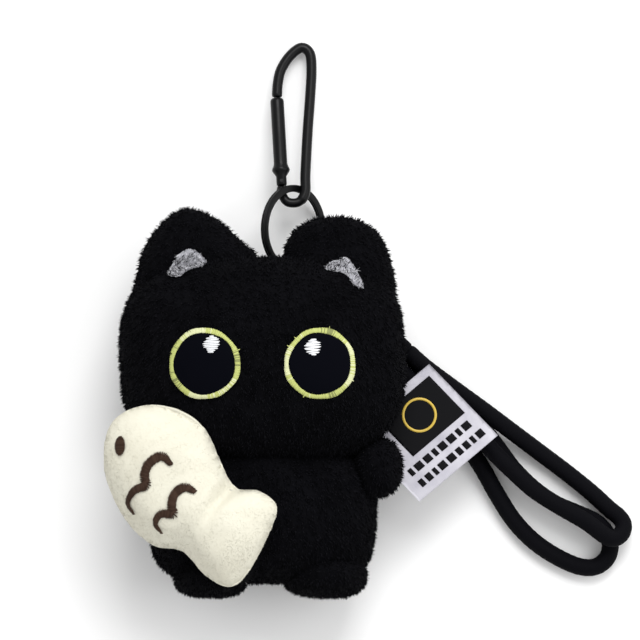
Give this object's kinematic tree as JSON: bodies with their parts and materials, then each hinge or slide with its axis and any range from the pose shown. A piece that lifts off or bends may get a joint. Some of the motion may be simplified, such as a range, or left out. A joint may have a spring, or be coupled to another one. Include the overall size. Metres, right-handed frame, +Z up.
{
  "type": "plush keychain",
  "caption": "Stuffed black cat holding a cream fish, lying on its back, with a woven side label, a cord wrist strap, a split ring and a sprung carabiner.",
  "frame": {"origin": "centre of the flat spot on the back of the cat's head, on the surface that it lies on", "axes": "+Y from the feet to the carabiner, +X to the strap's side, +Z up out of the face"},
  "size_m": [0.1471, 0.1553, 0.0521],
  "materials": {
    "black_pile": "short black plush pile",
    "grey_pile": "grey plush inner-ear patch",
    "cream_pile": "short cream plush pile",
    "stuffing": "white polyester fibre fill",
    "eye_satin": "smooth navy-black satin stitch",
    "eye_thread": "yellow-green embroidery thread",
    "white_thread": "white embroidery thread",
    "brown_thread": "dark brown embroidery thread",
    "black_metal": "smooth black enamel on steel",
    "spring_steel": "plain spring steel",
    "black_ribbon": "black woven ribbon",
    "black_cord": "black braided round cord",
    "satin_label": "silver-white satin ribbon"
  },
  "bodies": {
    "plush": {"head_front_panel": "black_pile", "head_back_panel": "black_pile", "torso_front_panel": "black_pile", "torso_back_panel": "black_pile", "ear_left": "black_pile", "ear_right": "black_pile", "arm_left": "black_pile", "arm_right": "black_pile", "leg_left": "black_pile", "leg_right": "black_pile", "ear_lining_left": "grey_pile", "ear_lining_right": "grey_pile", "fish_front_panel": "cream_pile", "fish_back_panel": "cream_pile", "head_stuffing": "stuffing", "torso_stuffing": "stuffing", "fish_stuffing": "stuffing", "eye_disc_left": "eye_satin", "eye_ring_left": "eye_thread", "eye_glint_left": "white_thread", "eye_disc_right": "eye_satin", "eye_ring_right": "eye_thread", "eye_glint_right": "white_thread", "fish_eye": "brown_thread", "fish_mark_upper": "brown_thread", "fish_mark_lower": "brown_thread", "hang_tab": "black_ribbon", "strap_cuff": "black_ribbon", "strap_loop_upper": "black_cord", "strap_loop_lower": "black_cord"},
    "ring": {"split_ring": "black_metal"},
    "carabiner": {"carabiner_frame": "black_metal", "gate_pin": "spring_steel"},
    "gate": {"carabiner_gate": "black_metal", "gate_spring": "spring_steel"},
    "label": {"woven_label": "satin_label"}
  },
  "joints": [
    {"name": "ring_swing", "type": "hinge", "parent": "plush", "child": "ring", "pos_m": [0.0085, 0.025, 0.0102], "axis": [0.6947, 0, -0.7193], "range_deg": [-70, 10]},
    {"name": "carabiner_swing", "type": "hinge", "parent": "ring", "child": "carabiner", "pos_m": [0.0085, 0.048, 0.0102], "axis": [0.6947, 0, -0.7193], "range_deg": [-60, 60]},
    {"name": "gate_pivot", "type": "hinge", "parent": "carabiner", "child": "gate", "pos_m": [0.0052, 0.04995, 0.00965], "axis": [0, -0.1908, -0.9816], "range_deg": [0, 12], "stiffness_Nm_per_rad": 0.02},
    {"name": "label_flap", "type": "hinge", "parent": "plush", "child": "label", "pos_m": [0.036, -0.0226, 0.0175], "axis": [0, -1, 0], "range_deg": [-10, 25]}
  ]
}
